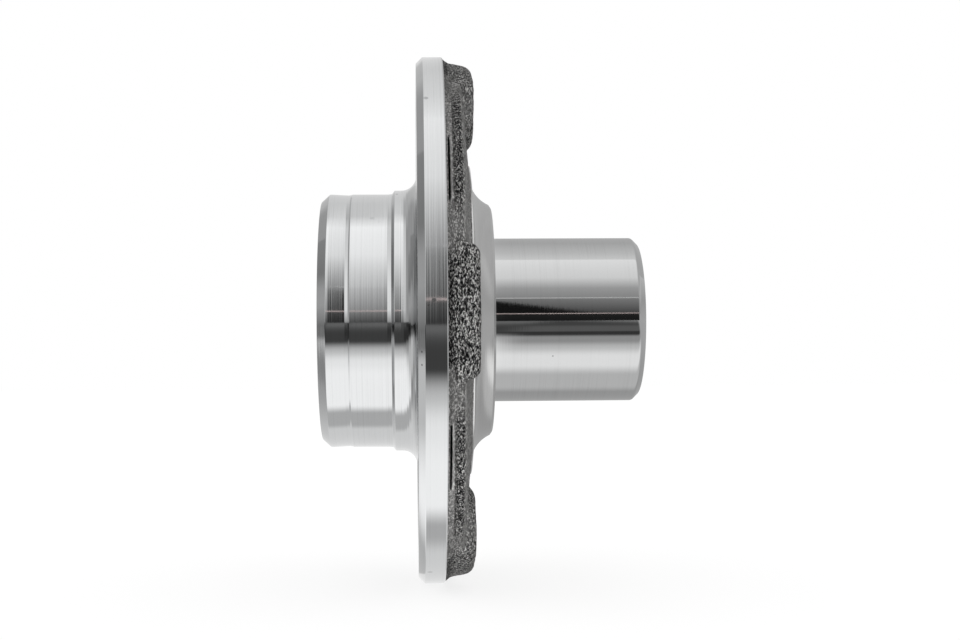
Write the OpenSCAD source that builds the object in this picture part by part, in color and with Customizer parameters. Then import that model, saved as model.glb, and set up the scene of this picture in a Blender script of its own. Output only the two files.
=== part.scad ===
// Driven wheel hub: one steel forging, turned, drilled and broached.
// It spins about Y. The wheel and brake disc sit towards -Y, the bearing towards +Y.
// The origin is on the axis, in the plane of the face that the brake disc seats on.
// Each module below is one stretch of the forging, and the stretches meet face to face.

/* [Flange] */
// Diameter of the flange's turned rim
flange_d = 150; // [146:0.5:160]
// Width of the turned rim, from the disc face back
rim_w = 7.4; // [6:0.1:9]
// Chamfer on the rim's front edge
rim_chamfer = 1.8; // [0.5:0.1:2.5]

/* [Wheel spigot] */
// Diameter that centres the wheel
wheel_spigot_d = 72.5; // [70:0.1:73.5]
// How far the spigot's nose stands in front of the disc face
spigot_reach = 26.9; // [24:0.1:34]
// Nose chamfer, along the axis
nose_chamfer_l = 2.3; // [1:0.1:2.8]
// Nose chamfer, across the axis
nose_chamfer_w = 2.1; // [1:0.1:3]
// Distance from the nose to the shallow relief
relief_start = 3.2; // [3:0.1:4]
// Length of the relief
relief_l = 5.6; // [4:0.1:9]
// Length of the relief's steeper slope, on the disc's side
relief_back_l = 1.7; // [1:0.1:3]
// Depth of the relief
relief_depth = 0.35; // [0.1:0.05:1]

/* [Disc spigot] */
// How far the stretch that centres the brake disc stands out past the wheel's, on the radius
disc_spigot_rise = 1.1; // [0.5:0.05:2]
// Distance from the disc face to the spigot's front corner
disc_spigot_l = 6.2; // [5.5:0.1:10]
// Length of the slope down to the wheel spigot
spigot_step_l = 1.8; // [1:0.1:3]
// Radius at the spigot's root, against the disc face
root_r = 4.3; // [2:0.1:5]

/* [Nut recess] */
// Wall of the wheel spigot, around the recess for the axle nut and its socket
recess_wall = 7.75; // [6:0.25:11]
// Distance from the disc face forward to the nut's seat
nut_seat_reach = 2; // [0:0.1:5]
// Diameter of the plain hole in the nut's seat
axle_hole_d = 32; // [31.4:0.1:36]
// Chamfer on the edges of the recess and of the plain hole
recess_chamfer = 0.8; // [0.3:0.1:1.5]
// Width of the bevel where the seat's stretch widens under the recess's wall
seat_bevel = 2; // [1:0.5:4]

/* [Wheel bolts] */
// Number of wheel bolts, each with its own boss
bolt_count = 5; // [4:1:5]
// Diameter of the bolt circle
bolt_circle_d = 120; // [112:0.5:124]
// Hole for an M12 x 1.5 thread
bolt_hole_d = 10.5; // [8:0.1:13]

/* [Disc screw] */
// Hole for the brake disc's M8 retaining screw
disc_screw_d = 6.8; // [5:0.1:8.5]
// Radius at which the retaining screw stands
disc_screw_at = 60; // [52:0.5:64]

/* [Forged back] */
// Step in from the turned rim to the as-forged wall, on the radius
forging_inset = 1.5; // [0.5:0.1:3]
// Thickness from the disc face to the edge of the back, between the bosses
back_edge_t = 11.9; // [10:0.1:13]
// Thickness from the disc face to the back, where the web meets the shoulder's turned land
web_root_t = 14.5; // [12.5:0.1:15]
// Radius of the back's rounded outer edge
back_edge_r = 1.4; // [0.5:0.1:2]
// Draft of the forged walls, in degrees
draft = 10; // [3:0.5:12]

/* [Bolt bosses] */
// Distance from the disc face to the rear faces of the bosses
boss_face_t = 15.5; // [14.5:0.1:17]
// Width of a boss at the edge of the back
boss_w = 34; // [26:0.5:38]
// Radius of a boss's rounded edges along its two sides
boss_edge_r = 3; // [1:0.1:3.5]
// Radius of a boss's rounded edge at the flange's rim
boss_crown_r = 3; // [2:0.1:5]
// Radius from the axis to the centre of a boss's round inner end
boss_end_at = 66.7; // [64:0.1:69]

/* [Bearing shoulder] */
// Distance from the disc face to the face that the bearing abuts
shoulder_t = 21.2; // [20:0.1:26]
// Outer diameter of that face
shoulder_face_d = 64.6; // [58:0.1:68]
// Diameter at the shoulder's foot, where it meets the land
shoulder_foot_d = 76.4; // [72:0.1:80]
// Thickness from the disc face to the land, at the shoulder's foot
shoulder_foot_t = 15.7; // [15.2:0.05:17]
// Diameter of the turned land round the foot, to the small step down on to the web
land_d = 88.6; // [84:0.2:92]
// Thickness from the disc face to the land's outer edge
land_edge_t = 15.1; // [15.05:0.05:15.5]
// Depth of the hollow sweep between the foot and the face
shoulder_sweep_depth = 0.65; // [0.2:0.05:1]
// Break on the face's outer corner, across the axis
shoulder_break = 0.9; // [0.4:0.1:1.5]
// Slope of that break, in degrees from the face
shoulder_break_angle = 35; // [20:1:50]

/* [Bearing journal] */
// Diameter of the ground seat for the bearing's inner ring
journal_d = 47; // [42:0.1:50]
// Length of the journal past the shoulder
journal_l = 42.2; // [30:0.1:60]
// Width of the bevel where the journal narrows inside the shoulder
journal_bevel = 2; // [1:0.5:3]
// Chamfer on the journal's end
journal_chamfer = 1.8; // [0.8:0.1:3]

/* [Drive spline] */
// Number of spline teeth
spline_teeth = 30; // [20:1:40]
// Diameter at the tips of the teeth
spline_tip_d = 28.5; // [27:0.1:29]
// Diameter at the roots of the teeth
spline_root_d = 31; // [30.2:0.1:31.2]
// Counterbore past the spline, at the journal's end
counterbore_d = 36; // [34:0.1:38]
// Depth of that counterbore
counterbore_l = 3.1; // [1:0.1:8]
// Lead-in chamfer at both ends of the teeth
spline_lead = 1.1; // [0.5:0.1:1.5]

/* [Hidden] */
$fn = 128;

// Overlap of a cutting tool past the face that it cuts
cut = 1;
// How far the rounding of the back's edge stands proud of its faces, so that it crosses them
proud = 0.005;
// Share of a spline pitch taken by the root and by the tip of a tooth
root_share = 0.42;
tip_share = 0.3;

wheel_spigot_rad = wheel_spigot_d / 2;
disc_spigot_rad = wheel_spigot_rad + disc_spigot_rise;
recess_rad = wheel_spigot_rad - recess_wall;
seat_rad = recess_rad + seat_bevel;
root_foot_rad = disc_spigot_rad + root_r;
step_y = -(disc_spigot_l + spigot_step_l);
journal_rad = journal_d / 2;
journal_end = shoulder_t + journal_l;
core_rad = journal_rad - journal_bevel;
land_rad = land_d / 2;
sleeve_rad = counterbore_d / 2;
bolt_pitch = 360 / bolt_count;
disc_screw_angle = 180;

turned_steel = [0.78, 0.79, 0.8];
ground_steel = [0.72, 0.73, 0.75];
forged_steel = [0.3, 0.3, 0.31];

// Radius of the forged outer wall at distance y from the disc face
function wall_rad(y) = flange_d / 2 - forging_inset - (y - rim_w) * tan(draft);

function polar(r, a) = [r * cos(a), r * sin(a)];

// Radius of the arc through p and q that stands off their chord by sag
function arc_radius(p, q, sag) =
    let (half = norm(q - p) / 2)
    (half * half + sag * sag) / (2 * sag);

// Centre of the arc of radius r through p and q, on the right of the way from p to q
function arc_centre(p, q, r) =
    let (d = q - p, half = norm(d) / 2, reach = sqrt(r * r - half * half))
    (p + q) / 2 + reach * [d[1], -d[0]] / norm(d);

// Turns a half profile, drawn as radius and distance along the axis, about Y
module turned() {
    rotate([-90, 0, 0])
        rotate_extrude()
            children();
}

// Places its children at an angle round the axis, from +X towards +Z
module around(angle) {
    rotate([0, -angle, 0])
        children();
}

// Round hole along the axis, r from it, between y0 and y1
module axial_hole(d, r, y0, y1) {
    translate([r, y0, 0])
        rotate([-90, 0, 0])
            cylinder(d = d, h = y1 - y0);
}

// Front stretch of the spigot, with its nose chamfer and shallow relief
module wheel_spigot() {
    nose = -spigot_reach;
    relief_front = nose + relief_start;
    relief_end = relief_front + relief_l;
    color(turned_steel)
        turned()
            polygon([
                [recess_rad + recess_chamfer, nose],
                [wheel_spigot_rad - nose_chamfer_w, nose],
                [wheel_spigot_rad, nose + nose_chamfer_l],
                [wheel_spigot_rad, relief_front],
                [wheel_spigot_rad - relief_depth, relief_end - relief_back_l],
                [wheel_spigot_rad, relief_end],
                [wheel_spigot_rad, step_y],
                [recess_rad, step_y],
                [recess_rad, nose + recess_chamfer]
            ]);
}

// Rear stretch of the spigot, down to its root radius and on through the flange
module disc_spigot() {
    color(turned_steel)
        turned()
            difference() {
                polygon([
                    [recess_rad, step_y],
                    [wheel_spigot_rad, step_y],
                    [disc_spigot_rad, -disc_spigot_l],
                    [disc_spigot_rad, -root_r],
                    [root_foot_rad, 0],
                    [root_foot_rad, rim_w],
                    [seat_rad, rim_w],
                    [seat_rad, seat_bevel - nut_seat_reach],
                    [recess_rad, -nut_seat_reach]
                ]);
                translate([root_foot_rad, -root_r])
                    circle(r = root_r);
            }
}

// Floor of the nut recess, with the plain hole for the axle's threaded end
module nut_seat() {
    hole_rad = axle_hole_d / 2;
    color(turned_steel)
        turned()
            polygon([
                [hole_rad + recess_chamfer, -nut_seat_reach],
                [recess_rad, -nut_seat_reach],
                [seat_rad, seat_bevel - nut_seat_reach],
                [seat_rad, rim_w],
                [hole_rad, rim_w],
                [hole_rad, recess_chamfer - nut_seat_reach]
            ]);
}

// Holes for the wheel bolts, through the flange and its bosses
module bolt_holes() {
    for (i = [0 : bolt_count - 1])
        around(i * bolt_pitch)
            axial_hole(bolt_hole_d, bolt_circle_d / 2, -cut, boss_face_t + cut);
}

// Hole for the disc's retaining screw, midway between two bosses
module disc_screw_hole() {
    around(disc_screw_angle)
        axial_hole(disc_screw_d, disc_screw_at, -cut, web_root_t + cut);
}

// Turned plate of the flange, from the disc face to the back of its rim
module wheel_flange() {
    color(turned_steel)
        difference() {
            turned()
                polygon([
                    [root_foot_rad, 0],
                    [flange_d / 2 - rim_chamfer, 0],
                    [flange_d / 2, rim_chamfer],
                    [flange_d / 2, rim_w],
                    [root_foot_rad, rim_w]
                ]);
            bolt_holes();
            disc_screw_hole();
        }
}

// Half of the section across a boss, from y0 up: drafted side and rounded top edge
module boss_half_section(y0) {
    base_half = boss_w / 2 + (back_edge_t - y0) * tan(draft);
    top_half = boss_w / 2 - (boss_face_t - back_edge_t) * tan(draft);
    tangent = boss_edge_r * tan((90 - draft) / 2);
    centre = [top_half - tangent, boss_face_t - boss_edge_r];
    low = [top_half, boss_face_t] + tangent * [sin(draft), -cos(draft)];
    translate(centre)
        circle(r = boss_edge_r);
    polygon([
        [0, y0],
        [base_half, y0],
        low,
        [centre[0], boss_face_t],
        [0, boss_face_t]
    ]);
}

// Form of a boss along +X, from y0 up: a round inner end, and a bar on past the forging's wall
module boss_form(y0) {
    translate([boss_end_at, 0, 0])
        rotate([0, 90, 0]) {
            linear_extrude(height = flange_d / 2 + cut - boss_end_at) {
                boss_half_section(y0);
                mirror([1, 0])
                    boss_half_section(y0);
            }
            rotate([-90, 0, 0])
                rotate_extrude(angle = 180)
                    boss_half_section(y0);
        }
}

// Limits of a boss along its own radius: the forging's wall, with a rounded crown
module boss_limits() {
    top_rad = wall_rad(boss_face_t);
    tangent = boss_crown_r * tan((90 - draft) / 2);
    low = [top_rad, boss_face_t] + tangent * [sin(draft), -cos(draft)];
    centre = [top_rad - tangent, boss_face_t - boss_crown_r];
    turned() {
        translate(centre)
            circle(r = boss_crown_r);
        polygon([
            [sleeve_rad, rim_w],
            [wall_rad(rim_w), rim_w],
            low,
            [centre[0], boss_face_t],
            [sleeve_rad, boss_face_t]
        ]);
    }
}

// Solid of one boss at angle 0
module boss_body() {
    intersection() {
        boss_limits();
        boss_form(rim_w);
    }
}

// As-forged back of the flange: drafted wall, and a nearly flat web up to the turned land.
// It is open where the bosses stand.
module flange_back() {
    edge_rad = wall_rad(back_edge_t);
    web_angle = atan2(web_root_t - back_edge_t, edge_rad - land_rad);
    tangent = back_edge_r * tan((90 - draft - web_angle) / 2);
    edge_low = [edge_rad, back_edge_t] + tangent * [sin(draft), -cos(draft)];
    edge_in = [edge_rad, back_edge_t] + tangent * [-cos(web_angle), sin(web_angle)];
    edge_centre = arc_centre(edge_in, edge_low, back_edge_r);
    color(forged_steel)
        difference() {
            turned() {
                translate(edge_centre)
                    circle(r = back_edge_r + proud);
                polygon([
                    [sleeve_rad, rim_w],
                    [wall_rad(rim_w), rim_w],
                    edge_low,
                    edge_in,
                    [land_rad, web_root_t],
                    [sleeve_rad, web_root_t]
                ]);
            }
            for (i = [0 : bolt_count - 1])
                around(i * bolt_pitch)
                    boss_form(rim_w - cut);
            disc_screw_hole();
        }
}

// One as-forged boss behind a wheel bolt, with its hole
module bolt_boss(i) {
    if (i <= bolt_count)
        color(forged_steel)
            difference() {
                around((i - 1) * bolt_pitch)
                    boss_body();
                bolt_holes();
            }
}

module bolt_boss_1() { bolt_boss(1); }
module bolt_boss_2() { bolt_boss(2); }
module bolt_boss_3() { bolt_boss(3); }
module bolt_boss_4() { bolt_boss(4); }
module bolt_boss_5() { bolt_boss(5); }

// Turned shoulder between the forged back and the bearing: a land, a hollow sweep and a face
module bearing_shoulder() {
    foot = [shoulder_foot_d / 2, shoulder_foot_t];
    land_edge = [land_rad, land_edge_t];
    land_end = foot + cut * (foot - land_edge) / norm(foot - land_edge);
    face_rad = shoulder_face_d / 2;
    break_way = [cos(shoulder_break_angle), -sin(shoulder_break_angle)];
    sweep_top = [face_rad, shoulder_t] + shoulder_break / break_way[0] * break_way;
    sweep_r = arc_radius(foot, sweep_top, shoulder_sweep_depth);
    color(turned_steel)
        turned() {
            polygon([
                [core_rad, web_root_t],
                [land_rad, web_root_t],
                land_edge,
                land_end,
                [core_rad, land_end[1]]
            ]);
            difference() {
                polygon([
                    [core_rad, web_root_t],
                    [land_rad, web_root_t],
                    sweep_top + cut * break_way,
                    [face_rad, shoulder_t],
                    [journal_rad, shoulder_t],
                    [core_rad, shoulder_t - journal_bevel]
                ]);
                translate(arc_centre(foot, sweep_top, sweep_r))
                    circle(r = sweep_r);
            }
        }
}

// Ground seat for the bearing's inner ring, running down through the shoulder
module bearing_journal() {
    color(ground_steel)
        turned()
            polygon([
                [sleeve_rad, web_root_t],
                [core_rad, web_root_t],
                [core_rad, shoulder_t - journal_bevel],
                [journal_rad, shoulder_t],
                [journal_rad, journal_end - journal_chamfer],
                [journal_rad - journal_chamfer, journal_end],
                [sleeve_rad + recess_chamfer, journal_end],
                [sleeve_rad, journal_end - recess_chamfer]
            ]);
}

// Outline of the splined hole: root, flank, tip and flank of each tooth in turn
spline_pitch = 360 / spline_teeth;
spline_outline = [
    for (i = [0 : spline_teeth - 1])
        for (corner = [
            [spline_root_d, i - root_share / 2],
            [spline_root_d, i + root_share / 2],
            [spline_tip_d, i + 0.5 - tip_share / 2],
            [spline_tip_d, i + 0.5 + tip_share / 2]
        ])
            polar(corner[0] / 2, corner[1] * spline_pitch)
];

// Broached wall of the bore, with its teeth chamfered at both ends
module drive_spline() {
    y0 = rim_w;
    y1 = journal_end - counterbore_l;
    lead_rad = spline_tip_d / 2 + spline_lead;
    color(turned_steel)
        difference() {
            translate([0, y0, 0])
                rotate([-90, 0, 0])
                    linear_extrude(height = y1 - y0)
                        difference() {
                            circle(r = sleeve_rad);
                            polygon(spline_outline);
                        }
            turned()
                polygon([[0, y0 - cut], [lead_rad + cut, y0 - cut], [0, y0 + lead_rad]]);
            turned()
                polygon([[0, y1 + cut], [lead_rad + cut, y1 + cut], [0, y1 - lead_rad]]);
        }
}

wheel_spigot();
disc_spigot();
nut_seat();
wheel_flange();
flange_back();
bolt_boss_1();
bolt_boss_2();
bolt_boss_3();
bolt_boss_4();
bolt_boss_5();
bearing_shoulder();
bearing_journal();
drive_spline();
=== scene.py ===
import math

import bmesh
import bpy
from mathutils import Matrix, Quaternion, Vector, noise


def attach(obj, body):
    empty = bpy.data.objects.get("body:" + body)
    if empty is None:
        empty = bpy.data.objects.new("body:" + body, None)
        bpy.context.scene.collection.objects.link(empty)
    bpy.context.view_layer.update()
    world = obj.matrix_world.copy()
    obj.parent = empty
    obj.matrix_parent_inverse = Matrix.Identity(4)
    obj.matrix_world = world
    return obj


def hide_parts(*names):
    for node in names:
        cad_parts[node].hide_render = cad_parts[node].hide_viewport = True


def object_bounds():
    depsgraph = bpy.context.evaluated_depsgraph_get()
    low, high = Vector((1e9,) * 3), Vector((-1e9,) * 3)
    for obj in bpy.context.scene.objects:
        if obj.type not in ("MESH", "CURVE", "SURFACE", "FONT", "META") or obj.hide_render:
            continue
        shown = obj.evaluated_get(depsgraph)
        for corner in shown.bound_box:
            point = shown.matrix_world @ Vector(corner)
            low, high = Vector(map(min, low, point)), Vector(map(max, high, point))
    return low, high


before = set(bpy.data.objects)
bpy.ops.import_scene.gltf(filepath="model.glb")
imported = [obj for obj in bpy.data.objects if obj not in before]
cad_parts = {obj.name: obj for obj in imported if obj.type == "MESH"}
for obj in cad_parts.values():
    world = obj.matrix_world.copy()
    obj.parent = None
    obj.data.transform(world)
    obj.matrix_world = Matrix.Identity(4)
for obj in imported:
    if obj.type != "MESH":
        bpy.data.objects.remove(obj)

cad_box = [list(corner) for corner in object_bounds()]

# Camera. The hub is looked at from the side, level with its axis and nearly square to it,
# from about three flange diameters away. The journal's side stands a touch higher.
camera = bpy.data.objects.new("camera", bpy.data.cameras.new("camera"))
bpy.context.scene.collection.objects.link(camera)
bpy.context.scene.camera = camera
camera.data.sensor_width = 36
camera.data.lens = 60
camera.data.clip_start = 0.01
camera.location = (0.46211, -0.00142, -0.01533)
aim = Vector((0, 0.0182, 0)) - camera.location
roll = Quaternion((0, 0, 1), math.radians(-0.42))
camera.rotation_mode = "QUATERNION"
camera.rotation_quaternion = aim.to_track_quat("-Z", "Y") @ roll
bpy.context.scene.view_settings.view_transform = "Standard"

# Studio. A white cove: the camera sees a white world and a white floor, which keeps the shadow
# that falls on it. In the metal the floor shows as the light that lies on it: bright in front of
# the hub, darker under it, and falling off towards the camera.
class Wire:
    """A socket of a node. Sums and products of wires add the Math nodes that work them out."""
    def __init__(self, tree, socket):
        self.tree = tree
        self.socket = socket

    def node(self, kind, settings, sockets, out=0):
        """Any node: its settings first, then its sockets' values or the wires that lead there."""
        made = self.tree.nodes.new(kind)
        for key, value in settings.items():
            setattr(made, key, value)
        for key, value in sockets.items():
            if isinstance(value, Wire):
                self.tree.links.new(value.socket, made.inputs[key])
            else:
                made.inputs[key].default_value = value
        return Wire(self.tree, made.outputs[out] if made.outputs else None)

    def math(self, operation, *others):
        """A Math node with this wire as its first term."""
        terms = dict(enumerate((self, *others)))
        return self.node("ShaderNodeMath", {"operation": operation}, terms)

    def __add__(self, other):
        return self.math("ADD", other)

    def __sub__(self, other):
        return self.math("SUBTRACT", other)

    def __rsub__(self, other):
        return self.node("ShaderNodeMath", {"operation": "SUBTRACT"}, {0: other, 1: self})

    def __mul__(self, other):
        return self.math("MULTIPLY", other)

    def __truediv__(self, other):
        return self.math("DIVIDE", other)

    def __pow__(self, other):
        return self.math("POWER", other)

    __radd__ = __add__
    __rmul__ = __mul__

    def between(self, low, high):
        """0 below low, 1 above high, and a smooth rise between them."""
        settings = {"interpolation_type": "SMOOTHSTEP"}
        sockets = {"Value": self, "From Min": low, "From Max": high}
        return self.node("ShaderNodeMapRange", settings, sockets)

    def inside(self, low, high, soft):
        """1 from low to high, and 0 past a soft border on both sides."""
        return self.between(low - soft, low) * (1 - self.between(high, high + soft))

    def towards(self, other, share):
        """This wire where the share is 0, and the other where it is 1."""
        return self * (1 - share) + other * share

    def parts(self):
        """The x, y and z of a vector."""
        split = self.node("ShaderNodeSeparateXYZ", {}, {0: self}).socket.node
        return [Wire(self.tree, socket) for socket in split.outputs]


def new_material(name):
    """An empty material and the wire that its nodes are started from."""
    material = bpy.data.materials.new(name)
    material.use_nodes = True
    material.node_tree.nodes.clear()
    return material, Wire(material.node_tree, None)


def finish_surface(material, wire):
    """Joins a shader to the material's output."""
    wire.node("ShaderNodeOutputMaterial", {}, {"Surface": wire})
    return material


def switch(start, *kinds):
    """1 for rays of the kinds given, 0 for all others."""
    seen = [start.node("ShaderNodeLightPath", {}, {}, f"Is {kind} Ray") for kind in kinds]
    return sum(seen[1:], seen[0])


world = bpy.data.worlds.new("cove")
bpy.context.scene.world = world
world.use_nodes = True
world.node_tree.nodes.clear()
start = Wire(world.node_tree, None)
seen = switch(start, "Camera", "Glossy", "Transmission")
cove = start.node("ShaderNodeBackground", {}, {
    "Color": (1, 1, 1, 1), "Strength": 0.98 + 0.02 * seen,
})
start.node("ShaderNodeOutputWorld", {}, {"Surface": cove})


def sheet(name, points, faces):
    """A staged sheet from its points in metres."""
    mesh = bpy.data.meshes.new(name)
    mesh.from_pydata(points, [], faces)
    made = bpy.data.objects.new(name, mesh)
    bpy.context.scene.collection.objects.link(made)
    return made


def lit_along(x, light, *changes):
    """Light on the floor that changes by so much from one place along x to another."""
    for low, high, change in changes:
        light = light + change * x.between(low, high)
    return light


floor_z, far_out = cad_box[0][2] - 0.0002, 6
floor = sheet("floor", [
    (-far_out, -far_out, floor_z), (far_out, -far_out, floor_z),
    (far_out, far_out, floor_z), (-far_out, far_out, floor_z),
], [(0, 1, 2, 3)])
floor_white, start = new_material("floor_white")
x, y, _ = start.node("ShaderNodeTexCoord", {}, {}, "Object").parts()
by_rim = y.between(-0.004, 0) * (1 - y.between(0.01, 0.015)) * (1 - x.between(0.06, 0.1))
near = x - 0.026 * by_rim
wheel_side = lit_along(near - 0.012 * by_rim, 0.92, (-0.004, 0.006, -0.3))
wheel_side = lit_along(near, wheel_side, (0.022, 0.034, 0.76))
wheel_side = lit_along(
    x, wheel_side, (0.08, 0.11, -0.12), (0.11, 0.155, -0.45), (0.145, 0.225, -0.74), (0.3, 0.8, 0.12)
)
far = wheel_side * (0.56 - 0.36 * (0 - y).between(0.35, 0.6))
wheel_side = wheel_side.towards(far, (0 - y).between(0.04, 0.12))
bearing_side = lit_along(
    x, 0.46, (-0.03, -0.005, 0.24), (0.02, 0.045, 0.47), (0.065, 0.1, -0.4),
    (0.095, 0.135, -0.36), (0.16, 0.195, -0.36), (0.225, 0.25, 0.09), (0.33, 0.5, -0.06),
)
bearing_side = bearing_side.towards(0.56, y.between(0.11, 0.3))
side = (y - 0.1 * x).between(0.006, 0.026)
pattern = wheel_side.towards(bearing_side, side)
in_metal = switch(start, "Glossy")
glow = start.node("ShaderNodeEmission", {}, {
    "Color": (1, 1, 1, 1), "Strength": 1.04 * (1 - in_metal) + pattern * in_metal,
})
paper = start.node("ShaderNodeBsdfDiffuse", {}, {"Color": (1, 1, 1, 1)})
share = 0.76 * switch(start, "Camera") + in_metal
finish_surface(floor_white, start.node("ShaderNodeMixShader", {}, {0: share, 1: paper, 2: glow}))
floor.data.materials.append(floor_white)

# Studio cards. Strips round the hub's axis that only its reflections see: a softbox above, the
# grey of the room in front of it, and a dark slot behind the camera with thin bright seams.
card_light, start = new_material("card_light")
tone = start.node("ShaderNodeAttribute", {"attribute_name": "tone"}, {}, "Color")
finish_surface(card_light, start.node("ShaderNodeEmission", {}, {"Color": tone, "Strength": 1.0}))


def reflected_only(name, points, faces, lights, tint=(1, 1, 1)):
    """A sheet that lights nothing and shows in the metal alone, with its light at each point."""
    lit = sheet(name, points, faces)
    tones = [channel for light in lights for channel in (*(light * c for c in tint), 1)]
    lit.data.attributes.new("tone", "FLOAT_COLOR", "POINT").data.foreach_set("color", tones)
    lit.data.materials.append(card_light)
    lit.visible_camera = False
    lit.visible_diffuse = False
    lit.visible_shadow = False
    lit.visible_transmission = False


def strip(name, low, high, columns, reach=1.2, tint=(1, 1, 1)):
    """A strip between two elevations in degrees, 0 behind the camera. Each column gives a place
    along the axis in metres, and the light at the strip's low and high edge there."""
    steps = max(1, round((high - low) / 3))
    points, faces, lights = [], [], []
    for i in range(steps + 1):
        share = i / steps
        angle = math.radians(low + (high - low) * share)
        for y, light_low, light_high in columns:
            points.append((reach * math.cos(angle), y, reach * math.sin(angle)))
            lights.append(light_low + (light_high - light_low) * share)
    wide = len(columns)
    for a in range(steps * wide):
        if a % wide < wide - 1:
            faces.append((a, a + 1, a + wide + 1, a + wide))
    reflected_only(name, points, faces, lights, tint)


past_wheel = [(-1.4, 0.45, 0.45), (-0.7, 0.45, 0.45)]


def card(name, low, high, by_spigot, by_rim, by_journal, ends):
    """A strip whose light changes from the wheel's end to the bearing's end."""
    strip(name, low, high, [
        *past_wheel, (-0.5, *ends), (-0.24, *ends), (-0.15, *by_spigot), (-0.04, *by_spigot),
        (0.015, *by_rim), (0.09, *by_journal), (0.36, *by_journal), (0.75, 0.55, 0.6),
        (1.9, 0.55, 0.6),
    ])


card("room_behind", 132, 184, (0.86, 0.72), (0.88, 0.8), (0.56, 0.46), (0.6, 0.6))
card("room_over", 104, 132, (0.88, 0.84), (1.1, 0.88), (0.76, 0.56), (0.6, 0.6))
card("softbox_edge", 90, 104, (1.36, 0.9), (1.28, 1.1), (0.92, 0.76), (0.9, 0.6))
card("softbox", 58, 90, (1.3, 1.42), (1.15, 1.28), (0.98, 1.16), (1, 0.9))
card("ceiling_edge", 42, 58, (1.04, 1.3), (0.83, 1.15), (0.5, 0.98), (1.1, 1))
card("room_high", 27, 42, (0.86, 1.04), (0.42, 0.83), (0.36, 0.5), (1.15, 1.1))
strip("room_low", 6.3, 27, [
    *past_wheel, (-0.5, 1.1, 1.15), (-0.24, 1.1, 1.15), (-0.15, 0.42, 0.8),
    (-0.04, 0.42, 0.8), (0.015, 0.2, 0.42), (0.08, 0.07, 0.26),
    (0.24, 0.08, 0.3), (0.36, 0.08, 0.3), (0.75, 0.5, 0.5), (1.9, 0.5, 0.5),
])
card("slot", -4, 6.3, (0.09, 0.34), (0.05, 0.15), (0.014, 0.022), (0.4, 1.0))
reflected_only("dark_wedge", [
    (1.18 * math.cos(math.radians(up)), y, 1.18 * math.sin(math.radians(up)))
    for y, up in ((0.055, 6.7), (0.055, 25.3), (0.085, 23.5), (0.18, 6.8))
], [(0, 1, 2, 3)], [0.01] * 4)
strip("bright_seam", 27.6, 28.3, [(0.06, 0.85, 0.85), (0.5, 0.85, 0.85)], reach=1.19)
strip("pink_seam", 6, 6.8, [(-0.13, 0.8, 0.8), (0.36, 0.8, 0.8)], reach=1.19, tint=(1, 0.84, 0.82))


def end_card(name, y, levels):
    """A wall across one end of the studio, from (height in metres, light) pairs."""
    points, faces, lights = [], [], []
    for z, light in levels:
        points += [(-2.5, y, z), (2.5, y, z)]
        lights += [light, light]
    for i in range(len(levels) - 1):
        faces.append((2 * i, 2 * i + 1, 2 * i + 3, 2 * i + 2))
    reflected_only(name, points, faces, lights)


end_card("room_end_by_wheel", -1.5, [
    (floor_z, 0.22), (0.02, 0.34), (0.2, 0.5), (0.4, 0.48), (0.6, 0.28), (0.9, 0.32), (2.2, 0.4),
])
end_card("room_end_by_bearing", 1.95, [(floor_z, 0.58), (0.4, 0.48), (0.9, 0.7), (2.2, 0.6)])

# Wheel spigot. The front stretch of the spigot that the wheel's centre bore sits on. It is part
# of the one steel forging, turned bright all over, with a chamfered nose and a shallow relief.
MM = 0.001


def broken_corners(corners, steps=4):
    """A closed half profile from (radius, y, edge radius) in mm. A corner with edge radius 0
    stays sharp, as where two stretches of the forging meet, and its ring is returned too."""
    path, sharp = [], []
    for i, (r, y, edge) in enumerate(corners):
        corner = Vector((r, y))
        back = Vector(corners[i - 1][:2]) - corner
        ahead = Vector(corners[(i + 1) % len(corners)][:2]) - corner
        half = back.angle(ahead) / 2
        if edge == 0:
            sharp.append(len(path))
        if edge == 0 or half > math.radians(89.5):
            path.append(corner)
            continue
        trim = edge / math.tan(half)
        back.normalize()
        ahead.normalize()
        first, last = corner + back * trim, corner + ahead * trim
        centre = corner + (back + ahead).normalized() * edge / math.sin(half)
        arm = first - centre
        turn = arm.angle_signed(last - centre)
        path.append(first + back * edge * 0.3)
        for k in range(steps + 1):
            a = -turn * k / steps
            path.append(centre + Vector((
                arm.x * math.cos(a) - arm.y * math.sin(a),
                arm.x * math.sin(a) + arm.y * math.cos(a),
            )))
        path.append(last + ahead * edge * 0.3)
    return path, sharp


def piece_from(name, points, faces):
    """A smooth mesh piece in metres from points in mm."""
    mesh = bpy.data.meshes.new(name)
    mesh.from_pydata([Vector(p) * MM for p in points], [], faces)
    mesh.shade_smooth()
    made = bpy.data.objects.new(name, mesh)
    bpy.context.scene.collection.objects.link(made)
    return made


def lathe(name, corners, around=288, steps=4):
    """Turns a closed half profile about Y."""
    path, sharp = broken_corners(corners, steps)
    area = sum(a.x * b.y - b.x * a.y for a, b in zip(path, path[1:] + path[:1]))
    rings = len(path)
    points, faces = [], []
    for j in range(around):
        c, s = math.cos(2 * math.pi * j / around), math.sin(2 * math.pi * j / around)
        points += [(p.x * c, p.y, p.x * s) for p in path]
    for j in range(around):
        k = (j + 1) % around
        for i in range(rings):
            n = (i + 1) % rings
            quad = (j * rings + i, j * rings + n, k * rings + n, k * rings + i)
            faces.append(quad if area > 0 else quad[::-1])
    made = piece_from(name, points, faces)
    edges = made.data.attributes.new("sharp_edge", "BOOLEAN", "EDGE")
    at_seam = set(sharp)
    for edge in made.data.edges:
        a, b = edge.vertices
        if a % rings == b % rings and a % rings in at_seam:
            edges.data[edge.index].value = True
    return made


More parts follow.
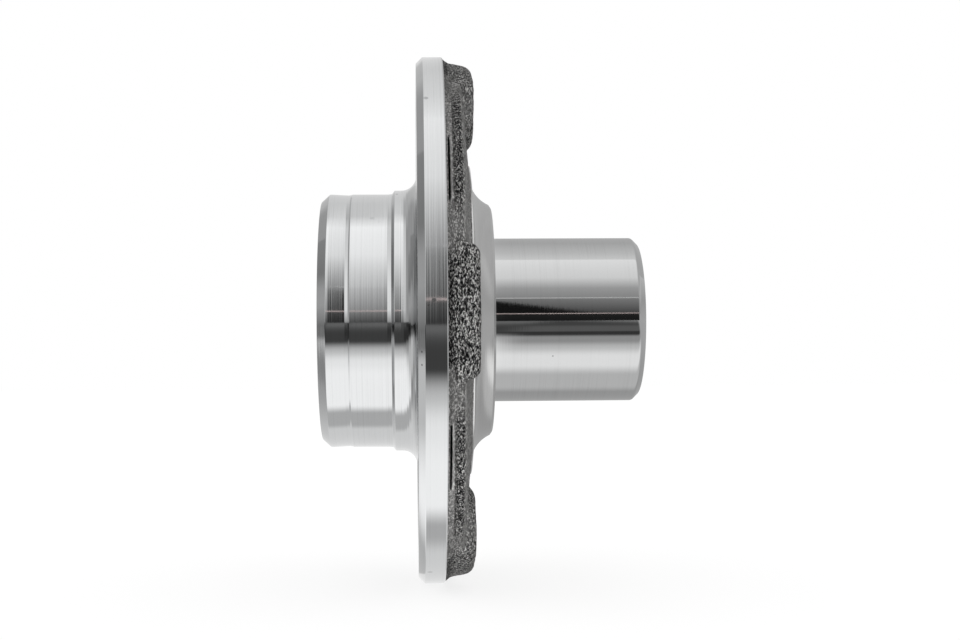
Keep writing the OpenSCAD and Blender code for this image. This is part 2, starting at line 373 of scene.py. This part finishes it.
nose, step_y, relief = -26.9, -8, 0.25
recess_r, wheel_r = 28.5, 36.25
wheel_spigot = lathe("spigot_for_wheel", [
    (recess_r + 0.8, nose, 0.15),
    (wheel_r - 2.1, nose, 0.3),
    (wheel_r, nose + 2.3, 0.25),
    (wheel_r, nose + 3, 0.3),
    (wheel_r - relief, nose + 7.5, 0.3),
    (wheel_r - relief + 0.1, nose + 8.35, 0.1),
    (wheel_r, nose + 8.75, 0.15),
    (wheel_r, step_y, 0),
    (recess_r, step_y, 0),
    (recess_r, nose + 0.8, 0.2),
])


def speckle(at, scale, detail, roughness, dimensions="3D"):
    """Noise over a place in metres, about 0.5 on average."""
    return at.node("ShaderNodeTexNoise", {"noise_dimensions": dimensions}, {
        "Vector": at, "Scale": scale, "Detail": detail, "Roughness": roughness,
    })


def bumps(height, depth, over=None):
    """Bumps as deep as given in mm, over the bumps of another wire if there is one."""
    sockets = {"Strength": 1.0, "Distance": depth * MM, "Height": height}
    if over is not None:
        sockets["Normal"] = over
    return height.node("ShaderNodeBump", {}, sockets)


def turned_steel(name, base, shine, ring_pitch, ring_depth, marks=()):
    """Bright steel from the lathe: rings round the axis, a faint bloom and a few handling marks.
    A mark is (x, y, z, size) in mm, and then the share of the tone that is left inside it."""
    material, start = new_material(name)
    place = start.node("ShaderNodeTexCoord", {}, {}, "Object")
    x, y, z = place.parts()
    r = (x * x + z * z) ** 0.5
    rings_at = start.node("ShaderNodeCombineXYZ", {}, {0: r, 1: y, 2: 0.0})
    fine = speckle(rings_at, 1000 / ring_pitch, 2.0, 0.6, "2D")
    feed = speckle(rings_at, 250 / ring_pitch, 2.0, 0.5, "2D")
    bloom = speckle(place, 60.0, 5.0, 0.62)
    tone = 0.87 + 0.14 * fine + 0.08 * feed + 0.05 * bloom.between(0.3, 0.75)
    rough = shine + 0.03 * bloom.between(0.35, 0.8) + 0.02 * fine
    for mx, my, mz, size, left in marks:
        gap = place.node("ShaderNodeVectorMath", {"operation": "DISTANCE"}, {
            0: place, 1: (mx * MM, my * MM, mz * MM),
        }, "Value")
        ragged = gap * 1000 + 0.9 * size * (bloom - 0.5)
        mark = 1 - ragged.between(size * 0.45, size)
        tone = tone * (1 - (1 - left) * mark)
        rough = rough + 0.15 * mark
    tint = start.node("ShaderNodeMix", {"data_type": "RGBA"}, {
        0: tone, 6: (0, 0, 0, 1), 7: (*base, 1),
    }, 2)
    steel = start.node("ShaderNodeBsdfPrincipled", {}, {
        "Base Color": tint, "Metallic": 1.0, "Roughness": rough,
        "Normal": bumps(fine + feed, ring_depth),
    })
    return finish_surface(material, steel)


def dress(piece, node, material):
    """The piece takes its material and its slot, stands for its CAD node and rides with the hub."""
    piece.data.materials.clear()
    piece.data.materials.append(material)
    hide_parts(node)
    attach(piece, "root")


spigot_steel = turned_steel("spigot_steel", (0.6, 0.607, 0.611), 0.055, 0.26, 0.007, marks=[
    (35, -26.7, 6.6, 0.8, 0.15), (12.6, -5.5, 35.2, 0.5, 0.3), (24.3, -12.2, 27.9, 1.2, 0.8),
    (25.6, -10.4, 26.9, 1.1, 0.82), (26.8, -8.9, 26, 1.0, 0.75),
])
dress(wheel_spigot, "wheel_spigot", spigot_steel)

# Disc spigot. The slightly larger stretch that centres the brake disc. It drops to the wheel's
# stretch over a short slope and runs into the disc face through the root radius.
disc_r, root_r, rim_w = 37.35, 4.3, 7.4
seat_r, seat_y = recess_r + 2, -2
root_arc = [
    (disc_r + root_r - root_r * math.cos(a), -root_r + root_r * math.sin(a), 0.02)
    for a in [math.radians(9 * k) for k in range(1, 10)]
]
disc_spigot = lathe("spigot_for_disc", [
    (recess_r, step_y, 0),
    (wheel_r, step_y, 0),
    (wheel_r + 0.14, step_y + 1.1, 0.2),
    (disc_r, step_y + 1.8, 0.25),
    (disc_r, -root_r, 0.02),
    *root_arc,
    (disc_r + root_r, 0, 0),
    (disc_r + root_r, rim_w, 0),
    (seat_r, rim_w, 0),
    (seat_r, 0, 0),
    (recess_r, seat_y, 0),
])
dress(disc_spigot, "disc_spigot", spigot_steel)

# Nut seat. The floor of the recess, which the axle nut is tightened against. Turned in the same
# setting as the spigot's inside, with a plain hole for the axle's threaded end.
hole_r = 16
nut_seat = lathe("seat_for_axle_nut", [
    (hole_r + 0.8, seat_y, 0.2),
    (recess_r, seat_y, 0),
    (seat_r, 0, 0),
    (seat_r, rim_w, 0),
    (hole_r, rim_w, 0),
    (hole_r, seat_y + 0.8, 0.2),
])
seat_steel = turned_steel("seat_steel", (0.56, 0.56, 0.56), 0.2, 0.3, 0.008)
dress(nut_seat, "nut_seat", seat_steel)

# Wheel flange. The turned plate that the brake disc and wheel are bolted to. Five M12 holes and
# the disc's M8 screw hole are drilled through it and its bosses, tapped and countersunk.
def new_tree(name, inputs):
    """A Geometry Nodes tree that takes a piece, named inputs and a material, with their wires."""
    tree = bpy.data.node_groups.new(name, "GeometryNodeTree")
    inputs = {"Piece": "Geometry", **inputs, "Material": "Material"}
    for key, kind in inputs.items():
        tree.interface.new_socket(name=key, in_out="INPUT", socket_type=f"NodeSocket{kind}")
    tree.interface.new_socket(name="Piece", in_out="OUTPUT", socket_type="NodeSocketGeometry")
    group = tree.nodes.new("NodeGroupInput")
    return tree, {key: Wire(tree, group.outputs[key]) for key in inputs}, Wire(tree, None)


def finish_tree(geometry, material):
    """Ends a tree with one realized mesh in one material."""
    whole = geometry.node("GeometryNodeRealizeInstances", {}, {"Geometry": geometry})
    whole = whole.node("GeometryNodeSetMaterial", {}, {"Geometry": whole, "Material": material})
    whole.node("NodeGroupOutput", {}, {0: whole})


def hole_tree():
    """Geometry Nodes: tapped holes on a circle about Y, cut from a closed piece."""
    tree, given, start = new_tree("tapped_holes", {
        "Count": "Int", "First Angle": "Float", "Circle Radius": "Float", "Core Radius": "Float",
        "Thread Depth": "Float", "Pitch": "Float", "Front Face": "Float", "Back Face": "Float",
    })
    overrun = 1.2 * MM
    front, back = given["Front Face"], given["Back Face"]
    length = back - front + 2 * overrun
    rows_per_pitch = 10
    cutter = start.node("GeometryNodeMeshCylinder", {}, {
        "Vertices": 40, "Side Segments": length / given["Pitch"] * rows_per_pitch,
        "Radius": 1.0, "Depth": length,
    })
    x, y, z = start.node("GeometryNodeInputPosition", {}, {}).parts()
    turn = z / given["Pitch"] - y.math("ARCTAN2", x) / (2 * math.pi)
    flank = (turn.math("FRACT") * 2 - 1).math("ABSOLUTE")
    flank = (flank * 1.3 - 0.15).math("MAXIMUM", 0.0).math("MINIMUM", 1.0)
    depth = given["Thread Depth"]
    wall = given["Core Radius"] + depth * flank
    mouth = given["Core Radius"] + depth * 1.5
    end = (length / 2 - z.math("ABSOLUTE")) - overrun
    sink = (mouth - end).math("MINIMUM", mouth + 0.6 * MM)
    bore = wall.math("MAXIMUM", sink)
    moved = start.node("ShaderNodeCombineXYZ", {}, {0: x * bore, 1: y * bore, 2: z})
    cutter = start.node("GeometryNodeSetPosition", {}, {"Geometry": cutter, "Position": moved})
    middle = (front + back) / 2
    cutter = start.node("GeometryNodeTransform", {}, {
        "Geometry": cutter, "Rotation": (math.radians(-90), 0, 0),
        "Translation": start.node("ShaderNodeCombineXYZ", {}, {
            0: given["Circle Radius"], 1: middle, 2: 0.0,
        }),
    })
    line = start.node("GeometryNodeMeshLine", {}, {"Count": given["Count"], "Offset": (0, 0, 0)})
    index = start.node("GeometryNodeInputIndex", {}, {})
    around = given["First Angle"] + index * (2 * math.pi) / given["Count"]
    turned = start.node("FunctionNodeEulerToRotation", {}, {
        0: start.node("ShaderNodeCombineXYZ", {}, {0: 0.0, 1: 0 - around, 2: 0.0}),
    })
    cutters = start.node("GeometryNodeInstanceOnPoints", {}, {
        "Points": line, "Instance": cutter, "Rotation": turned,
    })
    cutters = start.node("GeometryNodeRealizeInstances", {}, {"Geometry": cutters})
    cut = start.node("GeometryNodeMeshBoolean", {"operation": "DIFFERENCE", "solver": "MANIFOLD"}, {
        "Mesh 1": given["Piece"], "Mesh 2": cutters,
    })
    finish_tree(cut, given["Material"])
    return tree


def worked(piece, tree, values, sharp_angle):
    """Runs a node tree on a piece and keeps the result as the piece's plain mesh."""
    step = piece.modifiers.new(tree.name, "NODES")
    step.node_group = tree
    sockets = {s.name: s.identifier for s in tree.interface.items_tree if s.in_out == "INPUT"}
    for name, value in values.items():
        step[sockets[name]] = value
    done = bpy.data.meshes.new_from_object(
        piece.evaluated_get(bpy.context.evaluated_depsgraph_get())
    )
    piece.modifiers.remove(step)
    done.name = piece.name
    done.set_sharp_from_angle(angle=math.radians(sharp_angle))
    piece.data = done


flange_r, chamfer, boss_face = 75, 1.8, 15.5
bolts, bolt_circle_r = 5, 60
flange = lathe("flange_plate", [
    (disc_r + root_r, 0, 0),
    (flange_r - chamfer, 0, 0.2),
    (flange_r, chamfer, 0.2),
    (flange_r, rim_w - 0.28, 0.12),
    (flange_r - 0.3, rim_w, 0.1),
    (disc_r + root_r, rim_w, 0),
], steps=5)
flange_steel = turned_steel("flange_steel", (0.6, 0.607, 0.611), 0.055, 0.26, 0.007, marks=[
    (50, 2.5, 55.9, 0.9, 0.7), (75, 3.9, 2.4, 0.7, 0.6), (75, 2.6, 1.2, 0.4, 0.5),
    (73.6, 0.7, -10.1, 0.5, 0.2), (73.1, 0.7, -13.3, 0.5, 0.2), (30.2, 3, -68.6, 1.2, 0.75),
])
bolt_holes = {
    "Count": bolts, "First Angle": 0.0, "Circle Radius": bolt_circle_r * MM,
    "Core Radius": 5.25 * MM, "Thread Depth": 0.75 * MM, "Pitch": 1.5 * MM,
    "Front Face": 0.0, "Back Face": boss_face * MM,
}
screw_hole = {
    "Count": 1, "First Angle": math.pi, "Circle Radius": bolt_circle_r * MM,
    "Core Radius": 3.4 * MM, "Thread Depth": 0.6 * MM, "Pitch": 1.25 * MM,
    "Front Face": 0.0, "Back Face": 13 * MM,
}
tapped_holes = hole_tree()
for holes in (bolt_holes, screw_hole):
    worked(flange, tapped_holes, {**holes, "Material": flange_steel}, 35)
dress(flange, "wheel_flange", flange_steel)

# Forged back and bolt bosses. The rear of the flange keeps its skin from the forging dies: a
# drafted wall, a nearly flat web up to the turned land, and a boss with a round inner end behind
# each bolt. One surface is laid out in columns along the bosses, then split in six solids.
boss_pitch, boss_degrees = 2 * math.pi / bolts, 360 / bolts
draft_angle = math.radians(10)
draft = math.tan(draft_angle)
wall_foot_r, edge_r, edge_y = 73.5, 72.7, 11.9
sleeve_r, land_r, web_root = 18, 44.3, 14.5
# A boss is flat up to side_from off its middle line, rounded down to side_to, then drafted
boss_end, boss_crown, crown_fall, boss_reach = 66.7, 3, 2.479, 17.4
side_from, side_to = 13.848, 16.802


def wall_r(y):
    """The drafted wall's radius at a height."""
    return wall_foot_r - (y - rim_w) * draft


def ramp_to(value, low, high):
    """0 below low, 1 above high, and a smooth rise between them."""
    t = min(1, max(0, (value - low) / (high - low)))
    return t * t * (3 - 2 * t)


def web_height(r):
    """The web falls evenly from the land to the wall, and rises a little where it meets the land."""
    meets_land = 0.57 * max(0, 1 - (r - land_r) / 1.2) ** 2
    return web_root - max(0, r - land_r) * (web_root - edge_y) / (edge_r - land_r) + meets_land


def boss_distance(r, w):
    """Distance from a boss's middle line, which ends at the centre of its round inner end."""
    outwards = math.sqrt(max(0, r * r - w * w))
    return math.hypot(min(0, outwards - boss_end), w)


def boss_height(r, w):
    """A boss's face, and its rounded and drafted side all the way round."""
    d = boss_distance(r, w)
    if d < side_from:
        return boss_face
    if d < side_to:
        return boss_face - boss_crown + math.sqrt(boss_crown ** 2 - (d - side_from) ** 2)
    return boss_face - crown_fall - (d - side_to) / draft


def back_height(r, w):
    """Web and boss run into each other through a small fillet."""
    a, b = web_height(r), boss_height(r, w)
    near = max(0, 1 - abs(a - b) / 2)
    return max(a, b) + near * near * 0.5


# Columns: offsets in mm across a boss, then shares of the gap to the next boss
boss_offsets = [
    *[k * 0.85 for k in range(17)], 14.1, 14.6, 15.05, 15.45, 15.8, 16.1, 16.35, 16.55, 16.7,
    16.82, 16.93, 17.04, 17.16, 17.3, 17.48, 17.7, 18.1, 18.7,
]
boss_columns = [-w for w in boss_offsets[:0:-1]] + boss_offsets
gap_shares = [k / 22 for k in range(1, 22)]
columns = []
for i in range(bolts):
    columns += [(i, w, None) for w in boss_columns]
    columns += [(i, None, share) for share in gap_shares]


def column_angle(column, r):
    """Angle about the axis at which a column crosses a radius."""
    i, w, share = column
    if w is not None:
        return i * boss_pitch + math.asin(w / r)
    side = math.asin(boss_offsets[-1] / r)
    return i * boss_pitch + side + share * (boss_pitch - 2 * side)


def column_offset(column, r):
    """Signed distance from the middle plane of the nearest boss."""
    _, w, share = column
    if w is not None:
        return w
    side = math.asin(boss_offsets[-1] / r)
    turn = side + share * (boss_pitch - 2 * side)
    return r * math.sin(min(turn, boss_pitch - turn))


# Arcs in degrees along which the dies' flash was trimmed off, leaving a groove and a ridge.
# A column's height at crown_from and its angle at rim_line say how it goes on down the wall.
flash_arcs = [(21.5, 38), (93.5, 110), (165.5, 180), (180, 194), (250, 266), (322, 338)]
inner_rows = [sleeve_r, land_r - 0.1, land_r, *[land_r + 0.4 * k for k in range(1, 41)]]
outer_start = inner_rows[-1]
outer_rows, crown_rows, wall_rows = 20, 8, 26
crown_from, rim_line = 71, 74


def column_path(column):
    """One column from the bore to the foot of the wall, as (radius, height) in mm."""
    path = [(r, back_height(r, column_offset(column, r)) if r > land_r else web_root)
            for r in inner_rows]
    top_y = back_height(crown_from, column_offset(column, crown_from))
    crown = 1.4 + 1.6 * ramp_to(top_y, edge_y, boss_face)
    bend = math.pi / 2 - draft_angle
    arc_r = wall_r(top_y) - crown * math.tan(bend / 2)
    for k in range(1, outer_rows + 1):
        r = outer_start + (arc_r - outer_start) * k / outer_rows
        path.append((r, back_height(r, column_offset(column, r))))
    lift = path[-1][1] - top_y
    for k in range(1, crown_rows + 1):
        a = bend * k / crown_rows
        path.append((
            arc_r + crown * math.sin(a),
            top_y + lift * (1 - k / crown_rows) - crown * (1 - math.cos(a)),
        ))
    low_y = path[-1][1]
    turn = math.degrees(column_angle(column, rim_line)) % 360
    boss_turn = min(turn % boss_degrees, -turn % boss_degrees)
    trimmed = max(ramp_to(turn, a, a + 1.2) * ramp_to(b - turn, 0, 1.2) for a, b in flash_arcs)
    for k in range(1, wall_rows + 1):
        y = rim_w + (low_y - rim_w) * (1 - k / wall_rows) ** 1.25
        flare = (1 - ramp_to(boss_turn, 20, 24)) * 1.1 * max(0, (9.6 - y) / 2.2) ** 2
        gap = -0.12 * math.exp(-((y - rim_w - 0.08) / 0.08) ** 2)
        groove = -0.6 * math.exp(-((y - 8.1) / 0.15) ** 2)
        flash = 0.3 * math.exp(-((y - 8.6) / 0.13) ** 2)
        path.append((wall_r(y) + flare + gap + trimmed * (groove + flash), y))
    return path


def forged_skin():
    """Points of the whole skin, column by column, roughened as scale and dies leave it."""
    grid = []
    for column in columns:
        line = []
        for r, y in column_path(column):
            angle = column_angle(column, max(r, land_r))
            point = Vector((r * math.cos(angle), y, r * math.sin(angle)))
            held = ramp_to(r, land_r, land_r + 1.5) * ramp_to(y, rim_w, rim_w + 0.6)
            wave = noise.noise(point * 0.22) * 0.16 + noise.noise(point * 0.75) * 0.08
            grain = noise.noise(point * 1.7 + Vector((7, 3, 1))) * 0.07
            away = Vector((point.x, 0, point.z)).normalized()
            slope = ramp_to(r, 69, 72.5)
            away = (away * slope + Vector((0, 1, 0)) * (1 - slope)).normalized()
            line.append(point + away * held * (wave + grain))
        grid.append(line)
    return grid


skin = forged_skin()
rows = len(skin[0])


def solid_under(name, cells):
    """Closes the skin's cells down to the plane where the turned plate begins."""
    index, points, faces = {}, [], []

    def corner(j, i, low):
        low = low and i < rows - 1
        key = (j % len(columns), i, low)
        if key not in index:
            point = skin[key[0]][i].copy()
            if low or i == rows - 1:
                point.y = rim_w
            index[key] = len(points)
            points.append(point)
        return index[key]

    for j, i in cells:
        ring = [(j, i), (j, i + 1), (j + 1, i + 1), (j + 1, i)]
        faces.append([corner(a, b, False) for a, b in ring][::-1])
        faces.append([corner(a, b, True) for a, b in ring])
        wraps = len(columns)
        sides = [((j - 1) % wraps, i), (j, i + 1), ((j + 1) % wraps, i), (j, i - 1)]
        for k, beside in enumerate(sides):
            if beside in cells or beside[1] == rows - 1:
                continue
            a, b = ring[k], ring[(k + 1) % 4]
            wall = [corner(*a, False), corner(*b, False), corner(*b, True), corner(*a, True)]
            wall = list(dict.fromkeys(wall))
            if len(wall) > 2:
                faces.append(wall)
    return piece_from(name, points, faces)


width = len(boss_columns) + len(gap_shares)
boss_cells = [set() for _ in range(bolts)]
for i, cells in enumerate(boss_cells):
    for k in range(len(boss_columns) - 1):
        w = (boss_columns[k] + boss_columns[k + 1]) / 2
        for row in range(inner_rows.index(land_r) + 1, rows - 1):
            r = (inner_rows[row] + inner_rows[row + 1]) / 2 if row < len(inner_rows) - 1 else 70
            if boss_distance(r, w) < boss_reach:
                cells.add((i * width + k, row))
every_cell = {(j, row) for j in range(len(columns)) for row in range(rows - 1)}


def forged_steel():
    """As forged and shot blasted: dark, coarse, with bright specks where the grains face out.
    The places round a boss are told apart by degrees from its middle and by height in metres:
    its flank and the wall by the rim are smoother, and the wall between bosses is darker."""
    material, start = new_material("forged_steel")
    place = start.node("ShaderNodeTexCoord", {}, {}, "Object")
    x, y, z = place.parts()
    share = z.math("ARCTAN2", x) / boss_pitch + 5
    turn = ((share + 0.5).math("FRACT") - 0.5).math("ABSOLUTE") * boss_degrees
    after = share.math("FRACT") * boss_degrees
    over = z.between(-0.0001, 0.0001)
    arc = after.inside(22.5, 37, 1) * over
    arc = arc + after.inside(35, 49, 1) * (1 - over)
    # Painted shade in the floor of the flash groove, and a painted highlight along the flash ridge
    # just above it.
    groove = arc * y.inside(0.0079, 0.0082, 0.0002)
    flash = arc * y.inside(0.0085, 0.0087, 0.0002)
    # Painted highlight along each boss's rounded side above the web.
    corner = y.between(0.0113, 0.0118) * turn.between(13, 17)
    flank = turn.between(11, 16) * (1 - turn.between(17, 25))
    by_rim = (1 - y.between(0.009, 0.0098)) * turn.between(9, 13)
    # Painted shade at the foot of each boss's wall, where it meets the rim.
    foot = (1 - y.between(0.008, 0.0098)) * (1 - turn.between(9, 13))
    wall = turn.between(17, 26) * (1 - y.between(0.0113, 0.0118)) * (1 - by_rim)
    streaks = start.node("ShaderNodeMapping", {}, {
        "Vector": place, "Rotation": (0.7, 0.2, 0.4), "Scale": (1, 1, 0.5),
    })
    grain = speckle(streaks, 3300.0, 2.0, 0.6)
    lumps = speckle(streaks, 1900.0, 3.0, 0.7)
    patches = speckle(place, 60.0, 3.0, 0.5)
    dents = speckle(place, 420.0, 1.0, 0.5)
    scale = patches.between(0.42, 0.6)
    smooth = flank + by_rim * (1 - flank)
    rough_skin = 1 - 0.7 * smooth
    crest = (grain * 0.55 + lumps * 0.45).between(0.43, 0.62) ** 2
    valley = lumps.between(0.38, 0.48)
    tone = (0.02 + 0.03 * scale) * (1 - 0.5 * wall) + 1.5 * crest * rough_skin * (1 - 0.45 * wall)
    # corner adds the painted highlight along the bosses' rounded sides.
    tone = tone * (0.1 + 0.9 * valley) + 0.14 * smooth + 0.16 * corner
    # groove and foot lay painted shade into the tone, and flash adds its painted highlight.
    tone = tone * (1 - 0.55 * foot) * (1 - 0.95 * groove) + 0.45 * flash
    tint = start.node("ShaderNodeMix", {"data_type": "RGBA"}, {
        0: tone, 6: (0.005, 0.005, 0.006, 1), 7: (1.0, 0.99, 0.97, 1),
    }, 2)
    bump = bumps(grain * rough_skin, 0.45)
    bump = bumps(lumps * rough_skin, 1.3, bump)
    bump = bumps(dents * rough_skin, 1.6, bump)
    steel = start.node("ShaderNodeBsdfPrincipled", {}, {
        "Base Color": tint, "Metallic": 0.9, "Roughness": 0.3,
        "Specular Tint": (0.15, 0.15, 0.15, 1), "Normal": bump,
    })
    return finish_surface(material, steel)


def faces_out(piece):
    """Turns every face of a closed piece outwards."""
    shape = bmesh.new()
    shape.from_mesh(piece.data)
    bmesh.ops.recalc_face_normals(shape, faces=shape.faces)
    shape.to_mesh(piece.data)
    shape.free()


forged = forged_steel()
back = solid_under("forged_flange_back", every_cell.difference(*boss_cells))
faces_out(back)
worked(back, tapped_holes, {**screw_hole, "Material": forged}, 40)
dress(back, "flange_back", forged)
for number, cells in enumerate(boss_cells, 1):
    boss = solid_under(f"forged_boss_{number}", cells)
    faces_out(boss)
    worked(boss, tapped_holes, {**bolt_holes, "Material": forged}, 40)
    dress(boss, f"bolt_boss_{number}", forged)

# Bearing shoulder. Turned in the hub's second setting: a narrow land, a hollow sweep up from it
# and a flat face that the bearing's inner ring is pushed against.
stop_y, journal_r = 21.2, 23.5
core_r, core_y = 21.5, 19.2
sweep = []
foot, top = Vector((38.2, 15.7)), Vector((33.2, 20.57))
sag, sweep_steps = 0.65, 12
half = (top - foot).length / 2
sweep_r = (half * half + sag * sag) / (2 * sag)
chord = (top - foot).normalized()
outward = Vector((chord.y, -chord.x))
sweep_centre = (foot + top) / 2 + outward * (sweep_r - sag)
opening = math.asin(half / sweep_r)
for k in range(sweep_steps + 1):
    a = opening * (2 * k / sweep_steps - 1)
    point = sweep_centre - outward * sweep_r * math.cos(a) + chord * sweep_r * math.sin(a)
    sweep.append((point.x, point.y, 0.1 if k == 0 else 0.01))
shoulder = lathe("bearing_stop", [
    (core_r, web_root, 0),
    (land_r, web_root, 0),
    (land_r, web_root + 0.6, 0.05),
    *sweep[:-1],
    (top.x, top.y, 0.15),
    (top.x - 0.9, stop_y, 0.2),
    (journal_r, stop_y, 0),
    (core_r, core_y, 0),
])
shoulder_steel = turned_steel("shoulder_steel", (0.6, 0.6, 0.597), 0.17, 0.24, 0.006)
dress(shoulder, "bearing_shoulder", shoulder_steel)

# Bearing journal. Ground after hardening, the smoothest surface on the hub. The inner ring of
# the wheel bearing is pressed over its chamfered end.
journal_end, end_chamfer, lead = 63.4, 1.8, 0.8
journal = lathe("journal_ground", [
    (sleeve_r, web_root, 0),
    (core_r, web_root, 0),
    (core_r, core_y, 0),
    (journal_r, stop_y, 0),
    (journal_r, journal_end - end_chamfer, 1.2),
    (journal_r - end_chamfer, journal_end, 0.6),
    (sleeve_r + lead, journal_end, 0.15),
    (sleeve_r, journal_end - lead, 0.15),
])
ground_steel = turned_steel("ground_steel", (0.597, 0.601, 0.602), 0.03, 0.2, 0.0015, marks=[
    (20.9, 37.4, -10.8, 0.4, 0.6),
])
dress(journal, "bearing_journal", ground_steel)

# Drive spline. Thirty teeth that a broach cuts the whole length of the bore in one pull, after
# the plain sleeve is bored. Both ends are chamfered to lead the drive shaft in.
def spline_tree():
    """Geometry Nodes: teeth pressed out of the bore's wall of a plain sleeve about Y."""
    tree, given, start = new_tree("spline_teeth", {
        "Teeth": "Int", "Tip Radius": "Float", "Root Radius": "Float", "Front": "Float",
        "Back": "Float", "Lead": "Float",
    })
    x, y, z = start.node("GeometryNodeInputPosition", {}, {}).parts()
    r = (x * x + z * z) ** 0.5
    turn = z.math("ARCTAN2", x) * given["Teeth"] / (2 * math.pi)
    share = ((turn + 0.5).math("FRACT") - 0.5).math("ABSOLUTE").between(0.21, 0.35)
    tip, root = given["Tip Radius"], given["Root Radius"]
    tooth = root + (tip - root) * share
    ends = (y - given["Front"]).math("MINIMUM", given["Back"] - y)
    lead = tip + given["Lead"] - ends
    wall = tooth.math("MAXIMUM", lead)
    scale = wall / r
    moved = start.node("ShaderNodeCombineXYZ", {}, {0: x * scale, 1: y, 2: z * scale})
    in_bore = r.math("LESS_THAN", root + 0.0001)
    sleeve = start.node("GeometryNodeSetPosition", {}, {
        "Geometry": given["Piece"], "Selection": in_bore, "Position": moved,
    })
    finish_tree(sleeve, given["Material"])
    return tree


teeth, spline_back = 30, 60.3
tooth_tip_r, tooth_root_r = 14.25, 15.5
lead_rows = [0.2, 0.5, 0.8, 1.1, 1.4, 1.8, 2.2, 2.5]
sleeve = lathe("splined_sleeve", [
    (sleeve_r, rim_w, 0),
    (sleeve_r, spline_back, 0),
    (tooth_root_r, spline_back, 0),
    *[(tooth_root_r, spline_back - d, 0.01) for d in lead_rows],
    *[(tooth_root_r, rim_w + d, 0.01) for d in lead_rows[::-1]],
    (tooth_root_r, rim_w, 0),
], around=teeth * 20)
broached = turned_steel("broached_steel", (0.5, 0.5, 0.5), 0.25, 0.3, 0.006)
worked(sleeve, spline_tree(), {
    "Teeth": teeth, "Tip Radius": tooth_tip_r * MM, "Root Radius": tooth_root_r * MM,
    "Front": rim_w * MM, "Back": spline_back * MM, "Lead": 1.1 * MM, "Material": broached,
}, 28)
dress(sleeve, "drive_spline", broached)
